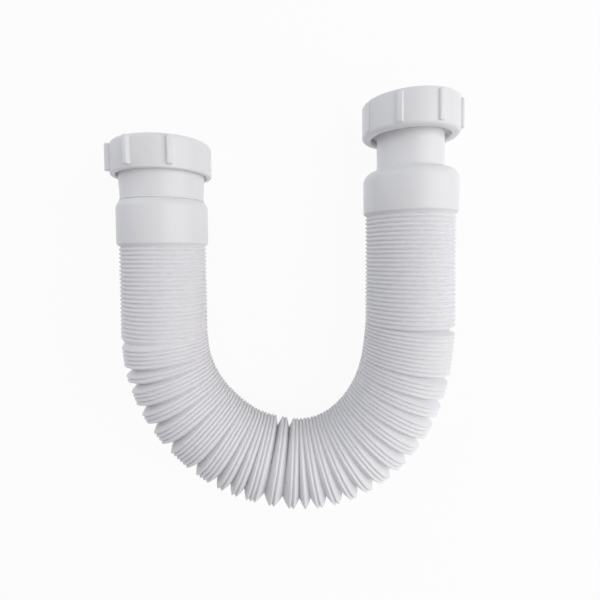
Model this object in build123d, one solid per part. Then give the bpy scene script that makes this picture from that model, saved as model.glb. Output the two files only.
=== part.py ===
from build123d import *
import math
import os

# A flexible waste connector: a concertina hose bent into a U and lying on its side.
# Millimetres. The arms point along +Y, +Z is up, and the left arm (-X) has the pipe end.

# Hose
fold_radius = 23.3  # crest of a fold
closed_groove = 1.2  # depth left open between two collapsed folds
open_groove = 5.6  # depth of an opened fold
hose_wall = 0.8  # left behind an opened fold
fold_pitch = 2.24  # of collapsed folds in a straight arm
left_folds = 22  # folds seen in each straight arm
right_folds = 26
tucked_folds = 4  # hidden in each cuff
arm_spacing = 134.9
closed_turn = 0.5  # degrees that a collapsed fold adds to the bend
bend_turn = 180.0
# Folds in each group round the bend, from the left arm on; the last fold of a group is opened
bend_groups = [1, 5, 2, 4, 3, 4, 6, 4, 2, 2, 3, 2, 2, 1, 2, 2, 2, 2, 3, 3, 3, 4, 3, 4, 10]
wide_groups = (10, 11)  # groups whose opened fold stands open on the inside of the bend too
wide_pitch = 4.3
# How wide the opened folds stand beside each other, at even steps round the bend
turn_shares = [0.95, 1.27, 0.91, 1.25, 1.13, 0.76]

# Cuffs that hold the hose
seat_gap = 0.1  # round each fold crest and each spigot
cuff_wall = 1.0
rim_bevel = 0.8

# Pipe end, on the left
pipe_radius = 20.5
pipe_gap = 0.25
neck_wall = 1.3
socket_depth = 24.7
socket_ledge = 1.75
sleeve_length = 23.6
shoulder_width = 1.9  # bevel at the sleeve's top
shoulder_height = 4.4
spigot_gap = 0.54  # from the tucked hose to the spigot's end
collar_width = 0.45  # bead that seats on the sleeve
collar_height = 1.0
pipe_neck_length = 12.6  # bare neck between the collar and the nut
neck_taper = 0.8  # how much the neck widens up to its thread
head_length = 9.3  # threaded head
thread_height = 1.9
thread_gap = 0.2
head_flare = 1.2
seal_thickness = 2.4  # of the seal's flat rim
seal_nose = 2.4  # how far its taper reaches into the socket
seal_spread = 1.25  # how much wider the taper is at the head's top
seal_inset = 0.95  # from the head's thread to the seal's edge
seal_grip = 0.2  # how far it stands into the socket's bore
slip_thickness = 1.0
compression_lip = 2.5
compression_wall = 2.6
compression_height = 17.0
compression_rib = 2.4

# Union end, on the right
tail_bore = 15.3  # radius
tail_wall = 1.95
tail_step = 1.1  # ledge that stops the hose
tail_length = 23.3  # cuff and shoulder
tail_slope = 1.2  # how much the shoulder rises to the neck
shoulder_round = 5.8
neck_round = 0.8
tail_neck_length = 17.1
lip_gap = 3.25  # between the neck and the nut's lip
flange_overlap = 1.5  # flange on the lip
flange_thickness = 3.0
flange_gap = 0.6
washer_thickness = 3.0
washer_gap = 0.2
union_lip = 3.0
union_thread_depth = 1.3
union_thread_length = 8.8
union_wall = 1.15
union_rib = 1.3

# Ribs of both nuts
rib_count = 6
rib_step = 45.0  # degrees; the rest of each nut is plain
rib_width = 3.2
rib_round = 0.8
rib_root = 0.9  # how far a rib reaches into the nut's wall
rib_top_gap = 1.2
rib_bottom_gap = 2.6
compression_rib_turn = 162.0  # first rib, degrees from straight up towards +X
union_rib_turn = -71.0
nut_top_round = 2.2
nut_bottom_round = 0.9

# Radii that follow from those sizes
hose_bore = fold_radius - open_groove - hose_wall
hose_seat = fold_radius + seat_gap
socket_radius = pipe_radius + pipe_gap
pipe_neck_radius = socket_radius + neck_wall
spigot_seat = pipe_neck_radius + seat_gap
sleeve_radius = max(hose_seat, spigot_seat) + cuff_wall
head_radius = pipe_neck_radius + thread_height
seal_radius = head_radius - seal_inset
compression_bore = head_radius + thread_gap
compression_radius = compression_bore + compression_wall
tail_radius = hose_seat + cuff_wall
tail_neck_radius = tail_bore + tail_wall
union_lip_radius = tail_neck_radius + lip_gap
flange_radius = union_lip_radius + flange_overlap
flange_room = flange_radius + flange_gap
union_thread_radius = flange_room + union_thread_depth  # comes to 47.8 mm across
union_radius = union_thread_radius + union_wall

# Heights along an arm's axis, from the lower rim of its cuff
tuck_depth = tucked_folds * fold_pitch
spigot_depth = sleeve_length - tuck_depth - spigot_gap
collar_top = sleeve_length + collar_height
compression_bottom = collar_top + pipe_neck_length
compression_top = compression_bottom + compression_height
slip_top = compression_top - compression_lip
seal_top = slip_top - slip_thickness
head_top = seal_top - seal_thickness
union_bottom = tail_length + tail_neck_length
flange_bottom = union_bottom + union_lip
flange_top = flange_bottom + flange_thickness
washer_top = flange_top + washer_thickness
union_top = washer_top + union_thread_length


def turned(corners, rounds=()):
    """A ring revolved about +Y from (radius, height) corners, with some corners rounded."""
    face = make_face(Polyline(*corners, close=True))
    for corner, radius in rounds:
        face = fillet(face.vertices().sort_by_distance(Vector(*corner)).first, radius)
    return revolve(face, Axis.Y)


def ribbed_nut(ring, radius, bottom, top, rib_height, first_turn):
    """A nut's ring with its grip ribs, stepped round +Y."""
    length = top - bottom - rib_top_gap - rib_bottom_gap
    rib = Box(rib_width, length, rib_height + rib_root)
    rib = fillet(rib.faces().sort_by(Axis.Z).last.edges(), rib_round)
    rib = Pos(0, bottom + rib_bottom_gap + length / 2, radius + (rib_height - rib_root) / 2) * rib
    for index in range(rib_count):
        ring += Rot(0, first_turn + index * rib_step, 0) * rib
    return ring


def pipe_sleeve():
    """Stepped cuff: the hose fits in from below, the compression body's spigot from above."""
    return turned([
        (hose_seat, 0),
        (sleeve_radius - rim_bevel, 0),
        (sleeve_radius, rim_bevel),
        (sleeve_radius, sleeve_length - shoulder_height),
        (sleeve_radius - shoulder_width, sleeve_length),
        (spigot_seat, sleeve_length),
        (spigot_seat, tuck_depth),
        (hose_seat, tuck_depth),
    ])


def compression_body():
    """Spigot, neck and threaded head in one, with a stepped socket for the pipe."""
    spigot_end = sleeve_length - spigot_depth
    ledge = head_top - socket_depth
    head_bottom = head_top - head_length
    return turned([
        (socket_radius - socket_ledge, spigot_end),
        (pipe_neck_radius, spigot_end),
        (pipe_neck_radius, sleeve_length),
        (pipe_neck_radius + collar_width, sleeve_length),
        (pipe_neck_radius + collar_width, collar_top),
        (pipe_neck_radius, collar_top),
        (pipe_neck_radius + neck_taper, head_bottom - head_flare),
        (head_radius, head_bottom),
        (head_radius, head_top),
        (socket_radius + seal_spread, head_top),
        (socket_radius, head_top - seal_nose),
        (socket_radius, ledge),
        (socket_radius - socket_ledge, ledge),
    ])


def pipe_seal():
    """Rubber ring with a flat rim on the head and a tapered nose in the socket's mouth."""
    inner = socket_radius - seal_grip
    return turned([
        (inner, head_top - seal_nose),
        (socket_radius - seat_gap, head_top - seal_nose),
        (socket_radius - seat_gap + seal_spread, head_top),
        (seal_radius, head_top),
        (seal_radius, seal_top),
        (inner, seal_top),
    ])


def slip_ring():
    """Flat hard ring that lets the nut turn on the seal."""
    ring = Cylinder(seal_radius, slip_thickness) - Cylinder(socket_radius + pipe_gap, slip_thickness)
    return Pos(0, seal_top + slip_thickness / 2, 0) * Rot(90, 0, 0) * ring


def compression_nut():
    """Ribbed nut with an inward lip over the slip ring."""
    top_edge = (compression_radius, compression_top)
    bottom_edge = (compression_radius, compression_bottom)
    ring = turned(
        [
            (compression_bore, compression_bottom),
            bottom_edge,
            top_edge,
            (socket_radius + pipe_gap, compression_top),
            (socket_radius + pipe_gap, slip_top),
            (compression_bore, slip_top),
        ],
        [(top_edge, nut_top_round), (bottom_edge, nut_bottom_round)],
    )
    return ribbed_nut(
        ring, compression_radius, compression_bottom, compression_top, compression_rib, compression_rib_turn
    )


def union_tail():
    """Cuff, rounded shoulder, neck and flange in one piece."""
    cuff_corner = (tail_radius, tail_length - tail_slope)
    neck_corner = (tail_neck_radius, tail_length)
    inner_radius = hose_seat - tail_step
    inner_corner = (inner_radius, tail_length - tail_slope - tail_wall)
    bore_corner = (tail_bore, tail_length - tail_wall)
    round_out = min(shoulder_round, (tail_radius - tail_neck_radius) * 0.8)
    return turned(
        [
            (hose_seat, 0),
            (tail_radius - rim_bevel, 0),
            (tail_radius, rim_bevel),
            cuff_corner,
            neck_corner,
            (tail_neck_radius, flange_bottom),
            (flange_radius, flange_bottom),
            (flange_radius, flange_top),
            (tail_bore, flange_top),
            bore_corner,
            inner_corner,
            (inner_radius, tuck_depth),
            (hose_seat, tuck_depth),
        ],
        [(cuff_corner, round_out), (neck_corner, neck_round), (inner_corner, round_out / 2)],
    )


def union_washer():
    """Flat rubber washer on the flange."""
    washer = Cylinder(flange_room - washer_gap, washer_thickness) - Cylinder(tail_bore, washer_thickness)
    return Pos(0, flange_top + washer_thickness / 2, 0) * Rot(90, 0, 0) * washer


def union_nut():
    """Loose ribbed nut, held on the tail by its lip under the flange."""
    top_edge = (union_radius, union_top)
    bottom_edge = (union_radius, union_bottom)
    ring = turned(
        [
            (union_lip_radius, union_bottom),
            bottom_edge,
            top_edge,
            (union_thread_radius, union_top),
            (union_thread_radius, washer_top),
            (flange_room, washer_top),
            (flange_room, flange_bottom),
            (union_lip_radius, flange_bottom),
        ],
        [(top_edge, nut_bottom_round), (bottom_edge, nut_top_round)],
    )
    return ribbed_nut(ring, union_radius, union_bottom, union_top, union_rib, union_rib_turn)


def along(heading):
    return Vector(math.cos(math.radians(heading)), math.sin(math.radians(heading)))


def turn_share(place):
    """How wide the opened fold stands at a place from 0 to 1 round the bend."""
    step = place * (len(turn_shares) - 1)
    before = min(int(step), len(turn_shares) - 2)
    return turn_shares[before] + (turn_shares[before + 1] - turn_shares[before]) * (step - before)


def fold_list():
    """Pitch, turn and opening of each fold, from the left arm's end to the right arm's."""
    collapsed = sum(bend_groups) - len(bend_groups)
    shares = [turn_share(group / (len(bend_groups) - 1)) for group in range(len(bend_groups))]
    open_turn = (bend_turn - collapsed * closed_turn) / sum(shares)
    bend = []
    for group, count in enumerate(bend_groups):
        bend += [(None, closed_turn, False)] * (count - 1)
        bend.append((wide_pitch if group in wide_groups else None, open_turn * shares[group], True))
    # The pitch inside the bend is the one that brings the arms to their spacing
    heading, fixed, share = -90.0, 0.0, 0.0
    for pitch, turn, _ in bend:
        reach = (along(heading).X + along(heading + turn).X) / 2
        heading += turn
        if pitch is None:
            share += reach
        else:
            fixed += pitch * reach
    bend_pitch = (arm_spacing - 2 * fold_radius - fixed) / share
    straight = (fold_pitch, 0.0, False)
    left = [straight] * (tucked_folds + left_folds)
    right = [straight] * (right_folds + tucked_folds)
    return left + [(pitch or bend_pitch, turn, opened) for pitch, turn, opened in bend] + right


def fold_rings(left_height, right_height):
    """Plane, radius and opening of each crest and groove, with the bend down on the floor."""
    heading = -90.0
    inner = Vector(fold_radius - arm_spacing / 2, (tucked_folds + left_folds) * fold_pitch)

    def ring(direction, radius, opened):
        side = along(direction + 90)
        arm_height = left_height if direction < 0 else right_height
        lift = (arm_height - fold_radius) * along(direction).Y ** 2
        centre = inner - side * fold_radius + Vector(0, 0, fold_radius + lift)
        return Plane(origin=centre, x_dir=(0, 0, 1), z_dir=along(direction)), radius, opened

    rings = [ring(heading, fold_radius, False)]
    for pitch, turn, opened in fold_list():
        groove = open_groove if opened else closed_groove
        inner = inner + along(heading) * (pitch / 2)
        rings.append(ring(heading + turn / 2, fold_radius - groove, opened))
        heading += turn
        inner = inner + along(heading) * (pitch / 2)
        rings.append(ring(heading, fold_radius, False))
    return rings


def bellows_hose(rings):
    """Ruled loft over every crest and groove, bored through."""
    outside = Solid.make_loft([Wire.make_circle(radius, plane) for plane, radius, _ in rings], ruled=True)
    stations = [rings[0]] + [ring for ring in rings if ring[2]] + [rings[-1]]
    bore = Solid.make_loft([Wire.make_circle(hose_bore, plane) for plane, _, _ in stations], ruled=True)
    return outside - bore


# Each arm lies as high as its nut's lowest rib holds it
compression_nut_shape = compression_nut()
union_nut_shape = union_nut()
left_height = -compression_nut_shape.bounding_box().min.Z
right_height = -union_nut_shape.bounding_box().min.Z
rings = fold_rings(left_height, right_height)
left_end = Pos(-arm_spacing / 2, left_folds * fold_pitch, left_height)
right_end = Pos(arm_spacing / 2, rings[-1][0].origin.Y - tuck_depth, right_height)

pieces = {
    "bellows_hose": bellows_hose(rings),
    "pipe_sleeve": left_end * pipe_sleeve(),
    "compression_body": left_end * compression_body(),
    "pipe_seal": left_end * pipe_seal(),
    "slip_ring": left_end * slip_ring(),
    "compression_nut": left_end * compression_nut_shape,
    "union_tail": right_end * union_tail(),
    "union_washer": right_end * union_washer(),
    "union_nut": right_end * union_nut_shape,
}

# The origin is the middle of the whole, on the floor
boxes = [piece.bounding_box() for piece in pieces.values()]
middle_x = (min(box.min.X for box in boxes) + max(box.max.X for box in boxes)) / 2
middle_y = (min(box.min.Y for box in boxes) + max(box.max.Y for box in boxes)) / 2
to_origin = Pos(-middle_x, -middle_y, -min(box.min.Z for box in boxes))

os.makedirs("parts", exist_ok=True)
for name, piece in pieces.items():
    export_step(to_origin * piece, f"parts/{name}.step")
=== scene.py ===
import math

import bmesh
import bpy
from mathutils import Matrix, Vector


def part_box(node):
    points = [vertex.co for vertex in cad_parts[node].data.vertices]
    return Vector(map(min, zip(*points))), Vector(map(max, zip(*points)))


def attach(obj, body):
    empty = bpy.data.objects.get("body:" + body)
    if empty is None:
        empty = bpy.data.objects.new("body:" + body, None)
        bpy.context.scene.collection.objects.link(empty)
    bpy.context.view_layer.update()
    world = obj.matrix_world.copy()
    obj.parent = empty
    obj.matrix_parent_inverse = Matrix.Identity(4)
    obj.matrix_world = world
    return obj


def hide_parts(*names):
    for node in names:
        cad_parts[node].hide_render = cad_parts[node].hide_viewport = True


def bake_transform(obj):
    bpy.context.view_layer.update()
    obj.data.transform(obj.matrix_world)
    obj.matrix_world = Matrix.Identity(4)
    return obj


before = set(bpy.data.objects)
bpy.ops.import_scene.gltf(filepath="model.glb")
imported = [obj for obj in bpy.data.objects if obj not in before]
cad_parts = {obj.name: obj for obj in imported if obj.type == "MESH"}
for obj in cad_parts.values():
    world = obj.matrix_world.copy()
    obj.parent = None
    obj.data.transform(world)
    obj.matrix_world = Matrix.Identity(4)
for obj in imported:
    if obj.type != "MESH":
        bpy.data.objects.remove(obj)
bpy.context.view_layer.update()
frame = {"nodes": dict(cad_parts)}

bpy.context.scene.view_settings.view_transform = "Standard"
print("frame loaded:", ", ".join(frame["nodes"]))


# shader maths written as plain sums

class Wire:
    def __init__(self, finish, socket):
        self.finish = finish
        self.socket = socket

    def sum(self, operation, other):
        return self.finish.node("ShaderNodeMath", {"operation": operation}, {0: self, 1: other})

    def __add__(self, other):
        return self.sum("ADD", other)

    def __mul__(self, other):
        return self.sum("MULTIPLY", other)

    __radd__ = __add__
    __rmul__ = __mul__


class Finish:
    bumpDepth = 0.0002

    def __init__(self, holder, shader):
        holder.use_nodes = True
        self.holder = holder
        self.tree = holder.node_tree
        self.shader = self.tree.nodes[shader]

    # one node: its settings first, then the values or links of its sockets
    def node(self, kind, settings, sockets, output=0):
        new = self.tree.nodes.new(kind)
        for key, value in settings.items():
            setattr(new, key, value)
        for key, value in sockets.items():
            self.put(new.inputs[key], value)
        return Wire(self, new.outputs[output])

    def put(self, socket, value):
        if isinstance(value, Wire):
            self.tree.links.new(value.socket, socket)
        else:
            socket.default_value = value

    def noise(self, scale, detail):
        spot = self.node("ShaderNodeTexCoord", {}, {}, "Object")
        return self.node("ShaderNodeTexNoise", {}, {"Vector": spot, "Scale": scale, "Detail": detail})

    def bump(self, strength, height):
        sockets = {"Strength": strength, "Distance": self.bumpDepth, "Height": height}
        return self.node("ShaderNodeBump", {}, sockets)

    # sockets 6 and 7 of a Mix node are its colours, and output 2 is their blend
    def blendColours(self, factor, first, second):
        return self.node("ShaderNodeMix", {"data_type": "RGBA"}, {0: factor, 6: first, 7: second}, 2)

    def surface(self, **sockets):
        for key, value in sockets.items():
            self.put(self.shader.inputs[key.replace("_", " ")], value)

    # the camera and reflections see plain white in place of most of the lit surface
    def whiteToCamera(self, kind, share, output):
        camera = self.node("ShaderNodeLightPath", {}, {}, "Is Camera Ray")
        glossy = self.node("ShaderNodeLightPath", {}, {}, "Is Glossy Ray")
        white = self.node(kind, {}, {"Color": (1, 1, 1, 1), "Strength": 1.0})
        lit = Wire(self, self.shader.outputs[0])
        mixed = self.node("ShaderNodeMixShader", {}, {0: (camera + glossy) * share, 1: lit, 2: white})
        self.put(self.tree.nodes[output].inputs["Surface"], mixed)


def newFinish(name):
    return Finish(bpy.data.materials.new(name), "Principled BSDF")


# white polypropylene, satin on the hose and a little glossier on the fittings;
# light sinks into both a little, the same for all colours

innerGlow = {"Subsurface_Weight": 0.12, "Subsurface_Scale": 0.0018, "Subsurface_Radius": (1.0, 1.0, 1.0)}

hoseLook = {
    "plain": (0.85, 0.845, 0.86, 1),
    "cloudy": (0.82, 0.815, 0.835, 1),
    "cloudScale": 34.0,
    "streakScale": 210.0,
    "grainScale": 2600.0,
    "streakTint": 0.3,
    "roughness": 0.4,
    "cloudRoughness": 0.1,
    "grainRoughness": 0.06,
    "bump": 0.12,
    "streakBump": 0.4,
    "shine": 0.42,
}


def hoseFinish(look):
    finish = newFinish("hosePlastic")
    cloud = finish.noise(look["cloudScale"], detail=4.0)
    streak = finish.noise(look["streakScale"], detail=2.0)
    grain = finish.noise(look["grainScale"], detail=2.0)
    tint = cloud * (1 - look["streakTint"]) + streak * look["streakTint"]
    relief = grain * (1 - look["streakBump"]) + streak * look["streakBump"]
    finish.surface(
        Base_Color=finish.blendColours(tint, look["cloudy"], look["plain"]),
        Roughness=look["roughness"] + cloud * look["cloudRoughness"] + grain * look["grainRoughness"],
        Normal=finish.bump(look["bump"], relief),
        Specular_IOR_Level=look["shine"],
        **innerGlow,
    )
    return finish.holder


fittingLook = {
    "plain": (0.84, 0.84, 0.85, 1),
    "cloudy": (0.81, 0.81, 0.825, 1),
    "cloudScale": 23.8,
    "peelScale": 620.0,
    "grainScale": 2600.0,
    "roughness": 0.3,
    "cloudRoughness": 0.1,
    "peelRoughness": 0.05,
    "bump": 0.1,
    "grainBump": 0.3,
    "shine": 0.45,
}


def fittingFinish(look):
    finish = newFinish("fittingPlastic")
    cloud = finish.noise(look["cloudScale"], detail=4.0)
    peel = finish.noise(look["peelScale"], detail=2.0)
    grain = finish.noise(look["grainScale"], detail=2.0)
    relief = peel * (1 - look["grainBump"]) + grain * look["grainBump"]
    finish.surface(
        Base_Color=finish.blendColours(cloud, look["cloudy"], look["plain"]),
        Roughness=look["roughness"] + cloud * look["cloudRoughness"] + peel * look["peelRoughness"],
        Normal=finish.bump(look["bump"], relief),
        Specular_IOR_Level=look["shine"],
        **innerGlow,
    )
    return finish.holder


rubberLook = {
    "plain": (0.022, 0.022, 0.023, 1),
    "bloom": (0.045, 0.045, 0.047, 1),
    "bloomScale": 90.0,
    "grainScale": 1800.0,
    "roughness": 0.6,
    "bloomRoughness": 0.2,
    "bump": 0.25,
    "shine": 0.4,
}


def rubberFinish(look):
    finish = newFinish("sealRubber")
    bloom = finish.noise(look["bloomScale"], detail=4.0)
    grain = finish.noise(look["grainScale"], detail=3.0)
    finish.surface(
        Base_Color=finish.blendColours(bloom, look["plain"], look["bloom"]),
        Roughness=look["roughness"] + bloom * look["bloomRoughness"],
        Normal=finish.bump(look["bump"], grain),
        Specular_IOR_Level=look["shine"],
    )
    return finish.holder


hosePlastic = hoseFinish(hoseLook)
fittingPlastic = fittingFinish(fittingLook)
sealRubber = rubberFinish(rubberLook)
print("finishes made")


# making and placing pieces

mm = 0.001
making = {
    "mergeGap": 1e-6,
    "sameSpot": 2e-6,
    "crease": 35.0,  # degrees
    "ringSteps": 144,
    "threadSteps": 72,
    "ribRoundSteps": 4,
    "smallRoundSteps": 3,
    "wideRoundSteps": 9,
    "wideRound": 2.0,  # mm, from which a rounding is wide
}


def cleanShape(shape):
    bmesh.ops.remove_doubles(shape, verts=shape.verts, dist=making["mergeGap"])
    bmesh.ops.recalc_face_normals(shape, faces=shape.faces)


def newPiece(name, shape, finish, crease=making["crease"]):
    mesh = bpy.data.meshes.new(name)
    cleanShape(shape)
    for face in shape.faces:
        face.smooth = True
    shape.to_mesh(mesh)
    shape.free()
    mesh.set_sharp_from_angle(angle=math.radians(crease))
    mesh.materials.append(finish)
    piece = bpy.data.objects.new(name, mesh)
    bpy.context.scene.collection.objects.link(piece)
    return piece


# one closed skin from a ring and what stands on it
def joinedPiece(name, ring, extras, finish):
    piece = newPiece(name, ring, finish)
    added = [newPiece(name + "Extra", extra, finish) for extra in extras]
    for extra in added:
        join = piece.modifiers.new("join", "BOOLEAN")
        join.operation = "UNION"
        join.solver = "EXACT"
        join.object = extra
    solid = bpy.data.meshes.new_from_object(piece.evaluated_get(bpy.context.evaluated_depsgraph_get()))
    piece.modifiers.clear()
    piece.data = solid
    solid.name = name
    solid.set_sharp_from_angle(angle=math.radians(making["crease"]))
    for extra in added:
        bpy.data.objects.remove(extra)
    return piece


def place(piece, body, node):
    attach(piece, body)
    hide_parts(node)


def middle(node):
    low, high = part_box(node)
    return (Vector(low) + Vector(high)) / 2


leftAxis = middle("pipe_sleeve")
rightAxis = middle("union_tail")
leftRim = Vector((leftAxis.x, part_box("pipe_sleeve")[0][1], leftAxis.z))
rightRim = Vector((rightAxis.x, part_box("union_tail")[0][1], rightAxis.z))


# a closed outline beside an arm's axis, from radii and heights over its rim in mm
def outline(shape, rim, corners):
    verts = [
        shape.verts.new((rim.x + radius * mm, rim.y + height * mm, rim.z)) for radius, height in corners
    ]
    return verts + [shape.edges.new(pair) for pair in zip(verts, verts[1:] + verts[:1])]


def onRing(vert, rim, radius, height):
    out = vert.co - rim
    across = math.hypot(out.x, out.z) - radius * mm
    return abs(out.y - height * mm) < making["sameSpot"] and abs(across) < making["sameSpot"]


def roundEdges(shape, edges, rounding, steps):
    bmesh.ops.bevel(
        shape, geom=edges, offset=rounding * mm, offset_type="OFFSET", affect="EDGES",
        segments=steps, profile=0.5, material=-1, clamp_overlap=True,
    )


# a ring turned round an arm's axis; each corner has a radius, a height and a rounding
def turnedRing(rim, corners):
    shape = bmesh.new()
    bmesh.ops.spin(
        shape, geom=outline(shape, rim, [corner[:2] for corner in corners]), cent=rim, axis=(0, 1, 0),
        angle=math.tau, steps=making["ringSteps"], use_merge=True,
    )
    cleanShape(shape)
    for radius, height, rounding in corners:
        if rounding:
            edges = [
                edge for edge in shape.edges if all(onRing(vert, rim, radius, height) for vert in edge.verts)
            ]
            wide = rounding >= making["wideRound"]
            steps = making["wideRoundSteps"] if wide else making["smallRoundSteps"]
            roundEdges(shape, edges, rounding, steps)
    return shape


# a helical ridge, wide at its root and narrow at its crest
def threadRidge(rim, thread):
    low, high = thread["from"], thread["from"] + thread["wide"]
    slope = (thread["wide"] - thread["narrow"]) / 2
    root, crest = thread["root"], thread["crest"]
    steps = making["threadSteps"]
    shape = bmesh.new()
    section = outline(shape, rim, [(root, low), (root, high), (crest, high - slope), (crest, low + slope)])
    bmesh.ops.spin(
        shape, geom=section, cent=rim, axis=(0, 1, 0), dvec=(0, thread["pitch"] * mm / steps, 0),
        angle=math.tau * thread["turns"], steps=round(steps * thread["turns"]), use_merge=False,
    )
    bmesh.ops.holes_fill(shape, edges=[edge for edge in shape.edges if edge.is_boundary], sides=4)
    return shape


# the grip ribs of a nut, set into its wall and rounded round their four outer corners
def gripRibs(rim, nut):
    ribs = bmesh.new()
    tall = nut["ribHeight"] + nut["ribRoot"]
    up = nut["wall"] + (nut["ribHeight"] - nut["ribRoot"]) / 2
    spot = Matrix.Translation((0, (nut["ribFrom"] + nut["ribLength"] / 2) * mm, up * mm))
    size = Matrix.Diagonal((nut["ribWidth"] * mm, nut["ribLength"] * mm, tall * mm, 1))
    for index in range(nut["ribCount"]):
        turn = Matrix.Rotation(math.radians(nut["ribTurn"] + index * nut["ribStep"]), 4, "Y")
        stand = Matrix.Translation(rim) @ turn @ spot @ size
        rib = bmesh.ops.create_cube(ribs, size=1.0, matrix=stand)["verts"]
        outer = sorted(rib, key=lambda vert: math.hypot(vert.co.x - rim.x, vert.co.z - rim.z))[4:]
        edges = list({edge for vert in outer for edge in vert.link_edges})
        roundEdges(ribs, edges, nut["ribRound"], making["ribRoundSteps"])
    return ribs


def ribbedNut(name, rim, corners, nut):
    extras = [gripRibs(rim, nut), threadRidge(rim, nut["thread"])]
    return joinedPiece(name, turnedRing(rim, corners), extras, fittingPlastic)


# the cuff that both ends share: radii and heights over its lower rim, in mm

cuff = {"seat": 23.4, "outer": 24.4, "bevel": 0.8, "tuck": 8.96, "lipRound": 0.15, "bevelRound": 0.4}
cuffMouth = [
    (cuff["seat"], cuff["tuck"], 0),
    (cuff["seat"], 0, 0),
    (cuff["outer"] - cuff["bevel"], 0, cuff["lipRound"]),
    (cuff["outer"], cuff["bevel"], cuff["bevelRound"]),
]


# pipe end: sleeve, body with its threaded head, seal, slip ring and nut

sleeve = {
    "top": 23.6, "shoulder": 3.0, "collar": 22.5, "spigotSeat": 22.15,
    "shoulderRound": 1.2, "collarRound": 0.35,
}
sleeveCorners = cuffMouth + [
    (cuff["outer"], sleeve["top"] - sleeve["shoulder"], sleeve["shoulderRound"]),
    (sleeve["collar"], sleeve["top"], sleeve["collarRound"]),
    (sleeve["spigotSeat"], sleeve["top"], 0),
    (sleeve["spigotSeat"], cuff["tuck"], 0),
]
sleevePiece = newPiece("pipeSleeve", turnedRing(leftRim, sleeveCorners), fittingPlastic)
place(sleevePiece, "pipe_end", "pipe_sleeve")

pipeBody = {
    "spigotEnd": 9.5, "neck": 22.05, "seam": 0.05, "collarTop": 24.6,
    "headBottom": 39.0, "headTop": 48.3, "core": 23.0, "taper": 0.8, "flare": 1.2,
    "socket": 20.75, "ledge": 19.0, "ledgeHeight": 23.6, "noseHeight": 2.4, "noseSpread": 1.25,
    "ledgeRound": 0.3, "endRound": 0.4, "seamRound": 0.15, "collarRound": 0.35, "creaseRound": 0.1,
    "thread": {
        "root": 22.9, "crest": 23.9, "wide": 1.7, "narrow": 0.6, "from": 39.4, "turns": 2.35, "pitch": 3.0,
    },
}
seamTop = sleeve["top"] + pipeBody["seam"]
noseBottom = pipeBody["headTop"] - pipeBody["noseHeight"]
bodyCorners = [
    (pipeBody["ledge"], pipeBody["spigotEnd"], pipeBody["ledgeRound"]),
    (pipeBody["neck"], pipeBody["spigotEnd"], pipeBody["endRound"]),
    (pipeBody["neck"], seamTop, 0),
    (sleeve["collar"], seamTop, pipeBody["seamRound"]),
    (sleeve["collar"], pipeBody["collarTop"], pipeBody["collarRound"]),
    (pipeBody["neck"], pipeBody["collarTop"], pipeBody["creaseRound"]),
    (pipeBody["neck"] + pipeBody["taper"], pipeBody["headBottom"] - pipeBody["flare"], 0),
    (pipeBody["core"], pipeBody["headBottom"], 0),
    (pipeBody["core"], pipeBody["headTop"], pipeBody["endRound"]),
    (pipeBody["socket"] + pipeBody["noseSpread"], pipeBody["headTop"], 0),
    (pipeBody["socket"], noseBottom, 0),
    (pipeBody["socket"], pipeBody["ledgeHeight"], 0),
    (pipeBody["ledge"], pipeBody["ledgeHeight"], pipeBody["ledgeRound"]),
]
headThread = threadRidge(leftRim, pipeBody["thread"])
bodyPiece = joinedPiece("compressionBody", turnedRing(leftRim, bodyCorners), [headThread], fittingPlastic)
place(bodyPiece, "pipe_end", "compression_body")

pipeSeal = {"outer": 23.0, "top": 50.7, "grip": 0.2, "gap": 0.1, "round": 0.2}
sealBore = pipeBody["socket"] - pipeSeal["grip"]
sealNose = pipeBody["socket"] - pipeSeal["gap"]
sealCorners = [
    (sealBore, noseBottom, 0),
    (sealNose, noseBottom, 0),
    (sealNose + pipeBody["noseSpread"], pipeBody["headTop"], 0),
    (pipeSeal["outer"], pipeBody["headTop"], pipeSeal["round"]),
    (pipeSeal["outer"], pipeSeal["top"], pipeSeal["round"]),
    (sealBore, pipeSeal["top"], pipeSeal["round"]),
]
sealPiece = newPiece("pipeSeal", turnedRing(leftRim, sealCorners), sealRubber)
place(sealPiece, "pipe_end", "pipe_seal")

slipRing = {"mouth": 21.0, "top": 51.7, "round": 0.1}
slipCorners = [
    (slipRing["mouth"], pipeSeal["top"], slipRing["round"]),
    (pipeSeal["outer"], pipeSeal["top"], slipRing["round"]),
    (pipeSeal["outer"], slipRing["top"], slipRing["round"]),
    (slipRing["mouth"], slipRing["top"], slipRing["round"]),
]
slipPiece = newPiece("slipRing", turnedRing(leftRim, slipCorners), fittingPlastic)
place(slipPiece, "slip_ring", "slip_ring")

compressionNut = {
    "wall": 26.75, "bore": 24.15, "bottom": 37.2, "top": 54.2,
    "topRound": 2.2, "bottomRound": 0.9, "boreRound": 0.4, "mouthRound": 0.7, "lipRound": 0.3,
    "ribCount": 6, "ribStep": 45.0, "ribTurn": 162.0, "ribWidth": 3.2, "ribHeight": 2.4,
    "ribRoot": 0.9, "ribFrom": 38.8, "ribLength": 14.2, "ribRound": 0.8,
    "thread": {
        "root": 24.25, "crest": 23.2, "wide": 1.7, "narrow": 0.6, "from": 37.9, "turns": 3.9, "pitch": 3.0,
    },
}
compressionCorners = [
    (compressionNut["bore"], compressionNut["bottom"], compressionNut["boreRound"]),
    (compressionNut["wall"], compressionNut["bottom"], compressionNut["bottomRound"]),
    (compressionNut["wall"], compressionNut["top"], compressionNut["topRound"]),
    (slipRing["mouth"], compressionNut["top"], compressionNut["mouthRound"]),
    (slipRing["mouth"], slipRing["top"], compressionNut["lipRound"]),
    (compressionNut["bore"], slipRing["top"], 0),
]
compressionPiece = ribbedNut("compressionNut", leftRim, compressionCorners, compressionNut)
place(compressionPiece, "compression_nut", "compression_nut")
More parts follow.
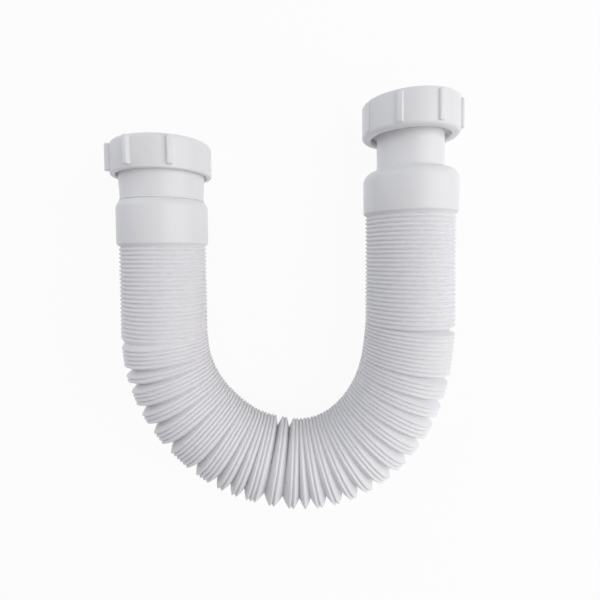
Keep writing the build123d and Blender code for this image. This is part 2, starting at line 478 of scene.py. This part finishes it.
print("pipe end made")


# union end: tail, washer and loose nut

tail = {
    "bore": 15.3, "neck": 17.25, "inner": 22.3, "flange": 22.0, "wall": 1.95,
    "shoulderHeight": 22.1, "neckBottom": 23.3, "flangeBottom": 43.4, "flangeTop": 46.4,
    "shoulderRound": 4.85, "innerRound": 2.4, "neckRound": 0.7, "stepRound": 0.6,
    "flangeRound": 0.4, "faceRound": 0.3, "boreRound": 0.4,
}
tailCorners = cuffMouth + [
    (cuff["outer"], tail["shoulderHeight"], tail["shoulderRound"]),
    (tail["neck"], tail["neckBottom"], tail["neckRound"]),
    (tail["neck"], tail["flangeBottom"], 0),
    (tail["flange"], tail["flangeBottom"], tail["flangeRound"]),
    (tail["flange"], tail["flangeTop"], tail["faceRound"]),
    (tail["bore"], tail["flangeTop"], tail["boreRound"]),
    (tail["bore"], tail["neckBottom"] - tail["wall"], tail["stepRound"]),
    (tail["inner"], tail["shoulderHeight"] - tail["wall"], tail["innerRound"]),
    (tail["inner"], cuff["tuck"], 0),
]
tailPiece = newPiece("unionTail", turnedRing(rightRim, tailCorners), fittingPlastic)
place(tailPiece, "union_end", "union_tail")

washer = {"outer": 22.4, "top": 49.4, "round": 0.25}
washerCorners = [
    (tail["bore"], tail["flangeTop"], washer["round"]),
    (washer["outer"], tail["flangeTop"], washer["round"]),
    (washer["outer"], washer["top"], washer["round"]),
    (tail["bore"], washer["top"], washer["round"]),
]
washerPiece = newPiece("unionWasher", turnedRing(rightRim, washerCorners), sealRubber)
place(washerPiece, "union_end", "union_washer")

unionNut = {
    "wall": 25.05, "lip": 20.5, "room": 22.6, "bore": 23.9, "bottom": 40.4, "top": 58.2,
    "topRound": 0.8, "bottomRound": 2.2, "lipRound": 0.6, "boreRound": 0.3, "seatRound": 0.3,
    "ribCount": 6, "ribStep": 45.0, "ribTurn": -71.0, "ribWidth": 3.2, "ribHeight": 1.3,
    "ribRoot": 0.9, "ribFrom": 42.0, "ribLength": 15.0, "ribRound": 0.8,
    "thread": {
        "root": 24.0, "crest": 22.85, "wide": 1.6, "narrow": 0.5, "from": 49.9, "turns": 2.5, "pitch": 2.31,
    },
}
unionCorners = [
    (unionNut["lip"], unionNut["bottom"], unionNut["lipRound"]),
    (unionNut["wall"], unionNut["bottom"], unionNut["bottomRound"]),
    (unionNut["wall"], unionNut["top"], unionNut["topRound"]),
    (unionNut["bore"], unionNut["top"], unionNut["boreRound"]),
    (unionNut["bore"], washer["top"], 0),
    (unionNut["room"], washer["top"], 0),
    (unionNut["room"], tail["flangeBottom"], 0),
    (unionNut["lip"], tail["flangeBottom"], unionNut["seatRound"]),
]
unionPiece = ribbedNut("unionNut", rightRim, unionCorners, unionNut)
place(unionPiece, "union_nut", "union_nut")
print("union end made")


# the concertina hose, in metres and degrees; its folds run from the left cuff to the right one

hose = {
    "crest": 0.0233,
    "closedGroove": 0.0012,
    "openGroove": 0.0056,  # on the outside of the bend
    "firstGroove": 0.0019,  # the first opened fold stands nearly shut
    "boreAtGroove": 0.0169,
    "boreAtCrest": 0.0181,
    "pitch": 0.00224,
    "leftFolds": 22,
    "rightFolds": 26,
    "tuckedFolds": 4,
    "spacing": 0.1349,
    "startHeading": -90.0,  # down the left arm
    "closedTurn": 0.5,
    "bendTurn": 180.0,
    # folds in each group of the bend, of which the last stands open
    "groups": [1, 5, 2, 4, 3, 4, 6, 4, 2, 2, 3, 2, 2, 1, 2, 2, 2, 2, 3, 3, 3, 4, 3, 4, 10],
    "shares": [0.95, 1.27, 0.91, 1.25, 1.13, 0.76],  # of the turn, at even steps round the bend
    "wideGroups": (10, 11),  # these stand open on the inside of the bend too
    "widePitch": 0.0043,
    "bead": 0.00045,
    "beadLimit": 0.3,  # share of a narrow fold's pitch
    "beadDrop": 0.0003,
    "beadEdge": 0.6,  # where a bead starts to round off
    "edgeDrop": 0.3,  # share of the bead's drop there
    "flankShare": 0.44,
    "grooveRing": 3,  # place of the groove among a fold's rings
    "segments": 96,
    "stretch": 40,  # rings worked at a time
    "crease": 50.0,
}


def along(heading):
    return Vector((math.cos(math.radians(heading)), math.sin(math.radians(heading)), 0))


# an opened fold's share of the turn, at a spot from 0 to 1 round the bend
def turnShare(spot):
    shares = hose["shares"]
    step = spot * (len(shares) - 1)
    before = min(int(step), len(shares) - 2)
    return shares[before] + (shares[before + 1] - shares[before]) * (step - before)


# pitch, turn and outside groove of each fold
def foldList():
    groups = hose["groups"]
    collapsed = sum(groups) - len(groups)
    shares = [turnShare(group / (len(groups) - 1)) for group in range(len(groups))]
    openTurn = (hose["bendTurn"] - collapsed * hose["closedTurn"]) / sum(shares)
    bend = []
    for group, count in enumerate(groups):
        bend += [(None, hose["closedTurn"], hose["closedGroove"])] * (count - 1)
        pitch = hose["widePitch"] if group in hose["wideGroups"] else None
        bend.append((pitch, openTurn * shares[group], hose["openGroove"] if group else hose["firstGroove"]))
    heading, fixed, share = hose["startHeading"], 0.0, 0.0
    for pitch, turn, _ in bend:  # the inside pitch that brings the arms to their spacing
        reach = (along(heading).x + along(heading + turn).x) / 2
        heading += turn
        if pitch is None:
            share += reach
        else:
            fixed += pitch * reach
    bendPitch = (hose["spacing"] - 2 * hose["crest"] - fixed) / share
    straight = (hose["pitch"], 0.0, hose["closedGroove"])
    left = [straight] * (hose["tuckedFolds"] + hose["leftFolds"])
    right = [straight] * (hose["rightFolds"] + hose["tuckedFolds"])
    return left + [(pitch or bendPitch, turn, groove) for pitch, turn, groove in bend] + right


# a ring's plane faces along the heading; its depths count from the crest inside and outside the bend
def ringPlace(inner, heading, insideDepth, outsideDepth):
    radius = hose["crest"] - (insideDepth + outsideDepth) / 2
    side = along(heading + 90)
    armHeight = leftAxis.z if heading < 0 else rightAxis.z
    lift = (armHeight - hose["crest"]) * along(heading).y ** 2
    centre = inner - side * (insideDepth + radius) + Vector((0, 0, hose["crest"] + lift))
    turn = Matrix((side, (0, 0, 1), along(heading))).transposed().to_4x4()
    return Matrix.Translation(centre) @ turn @ Matrix.Diagonal((radius, radius, 1, 1))


# rings over one fold from crest to crest: bead, convex flank, groove, flank, bead
def foldRings(inner, heading, pitch, turn, outsideGroove):
    insideGroove = outsideGroove if pitch == hose["widePitch"] else hose["closedGroove"]
    bead = min(hose["bead"], pitch * hose["beadLimit"])
    drop = hose["beadDrop"]
    edgeDrop = drop * hose["edgeDrop"]
    near = along(heading)
    away = along(heading + turn)
    halfway = inner + near * (pitch / 2)
    far = halfway + away * (pitch / 2)
    edge = inner + near * bead
    otherEdge = far - away * bead
    flank = [drop + (depth - drop) * hose["flankShare"] for depth in (insideGroove, outsideGroove)]
    outside = [
        (inner + near * (bead * hose["beadEdge"]), heading, edgeDrop, edgeDrop),
        (edge, heading, drop, drop),
        ((edge + halfway) / 2, heading + turn / 4, *flank),
        (halfway, heading + turn / 2, insideGroove, outsideGroove),
        ((otherEdge + halfway) / 2, heading + turn * 3 / 4, *flank),
        (otherEdge, heading + turn, drop, drop),
        (far - away * (bead * hose["beadEdge"]), heading + turn, edgeDrop, edgeDrop),
        (far, heading + turn, 0, 0),
    ]
    inside = [
        boreRing(halfway, heading + turn / 2, "boreAtGroove"),
        boreRing(far, heading + turn, "boreAtCrest"),
    ]
    return outside, inside, far


def boreRing(inner, heading, bore):
    depth = hose["crest"] - hose[bore]
    return inner, heading, depth, depth


# one stretch of tube over a row of rings
def tubeOver(places):
    shape = bmesh.new()
    bmesh.ops.create_circle(shape, segments=hose["segments"], radius=1.0, matrix=places[0])
    edges = list(shape.edges)
    for before, after in zip(places, places[1:]):
        grown = bmesh.ops.extrude_edge_only(shape, edges=edges)["geom"]
        verts = [item for item in grown if isinstance(item, bmesh.types.BMVert)]
        edges = [item for item in grown if isinstance(item, bmesh.types.BMEdge) and item.is_boundary]
        bmesh.ops.transform(shape, matrix=after @ before.inverted(), verts=verts)
    return shape


# a tube over the outside rings and back along the inside ones, joined up from short stretches
def hoseHalf(name, outside, inside):
    places = [ringPlace(*ring) for ring in outside + inside[::-1] + outside[:1]]
    whole = bmesh.new()
    for first in range(0, len(places) - 1, hose["stretch"]):
        stretch = tubeOver(places[first:first + hose["stretch"] + 1])
        joined = bpy.data.meshes.new("stretch")
        stretch.to_mesh(joined)
        stretch.free()
        whole.from_mesh(joined)
        bpy.data.meshes.remove(joined)
    piece = newPiece(name, whole, hosePlastic, hose["crease"])
    return piece


folds = foldList()
tuck = Vector((0, hose["tuckedFolds"] * hose["pitch"], 0))
inner = Vector((leftAxis.x + hose["crest"], leftRim.y, 0)) + tuck
heading = hose["startHeading"]
outsideRings = [(inner, heading, 0, 0)]
insideRings = [boreRing(inner, heading, "boreAtCrest")]
splitOutside, splitInside = None, None
for pitch, turn, groove in folds:
    over, under, inner = foldRings(inner, heading, pitch, turn, groove)
    heading += turn
    # the halves meet in the groove of the first opened fold that ends past the middle of the bend
    if groove == hose["openGroove"] and splitOutside is None and heading > 0:
        splitOutside = len(outsideRings) + hose["grooveRing"]
        splitInside = len(insideRings)
    outsideRings += over
    insideRings += under
hoseLeft = hoseHalf("hoseLeft", outsideRings[:splitOutside + 1], insideRings[:splitInside + 1])
hoseRight = hoseHalf("hoseRight", outsideRings[splitOutside:], insideRings[splitInside:])
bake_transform(hoseLeft)
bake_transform(hoseRight)
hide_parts("bellows_hose")
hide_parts("bellows_hose")
print("hose made:", len(folds), "folds, right end off by", round((inner - rightRim - tuck).y, 6))


# camera, lamps, room and floor

view = {
    "place": (0.00879, 0.03088, 0.24),
    "pitch": 0.04386,  # radians
    "yaw": -0.05745,
    "roll": 0.00645,
    "frame": 600,  # pixels, as are the next two
    "focal": 387.6,
    "centre": (276.5, 272.0),  # where the lens points in that frame
    "sensor": 36.0,  # mm
    "near": 0.01,
}
camera = bpy.data.objects.new("camera", bpy.data.cameras.new("camera"))
camera.data.sensor_width = view["sensor"]
camera.data.lens = view["focal"] / view["frame"] * view["sensor"]
camera.data.shift_x = 0.5 - view["centre"][0] / view["frame"]
camera.data.shift_y = view["centre"][1] / view["frame"] - 0.5
camera.data.clip_start = view["near"]
turned = (
    Matrix.Rotation(view["roll"], 3, "Z")
    @ Matrix.Rotation(view["yaw"], 3, "Y")
    @ Matrix.Rotation(view["pitch"], 3, "X")
)
camera.location = view["place"]
camera.rotation_euler = turned.transposed().to_euler()
bpy.context.scene.collection.objects.link(camera)
bpy.context.scene.camera = camera

lamps = {
    "key": {"place": (0.65, 0.0, 0.6), "size": 1.0, "watts": 5.7, "colour": (1.0, 0.985, 0.975)},
    "fill": {"place": (-0.85, 0.75, 0.5), "size": 1.2, "watts": 4.7, "colour": (0.92, 0.95, 1.0)},
}
for lampName, lamp in lamps.items():
    light = bpy.data.lights.new(lampName, "AREA")
    light.size = lamp["size"]
    light.energy = lamp["watts"]
    light.color = lamp["colour"]
    holder = bpy.data.objects.new(lampName, light)
    holder.location = lamp["place"]
    holder.rotation_euler = (-Vector(lamp["place"])).to_track_quat("-Z", "Y").to_euler()
    bpy.context.scene.collection.objects.link(holder)

stage = {
    "roomColour": (0.965, 0.965, 1.0, 1),
    "roomLevel": 0.35,
    "floorColour": (0.86, 0.86, 0.87, 1),
    "floorRoughness": 0.9,
    "floorShine": 0.1,
    "floorReach": 3.0,
    "whiteShare": 0.93,  # the rest keeps the shadow
}
room = Finish(bpy.data.worlds.new("room"), "Background")
room.surface(Color=stage["roomColour"], Strength=stage["roomLevel"])
room.whiteToCamera("ShaderNodeBackground", stage["whiteShare"], "World Output")
bpy.context.scene.world = room.holder

floorShape = bmesh.new()
bmesh.ops.create_grid(floorShape, x_segments=1, y_segments=1, size=stage["floorReach"])
floorFinish = newFinish("paleFloor")
floorFinish.surface(
    Base_Color=stage["floorColour"],
    Roughness=stage["floorRoughness"],
    Specular_IOR_Level=stage["floorShine"],
)
floorFinish.whiteToCamera("ShaderNodeEmission", stage["whiteShare"], "Material Output")
floor = newPiece("floor", floorShape, floorFinish.holder)
print("stage set")
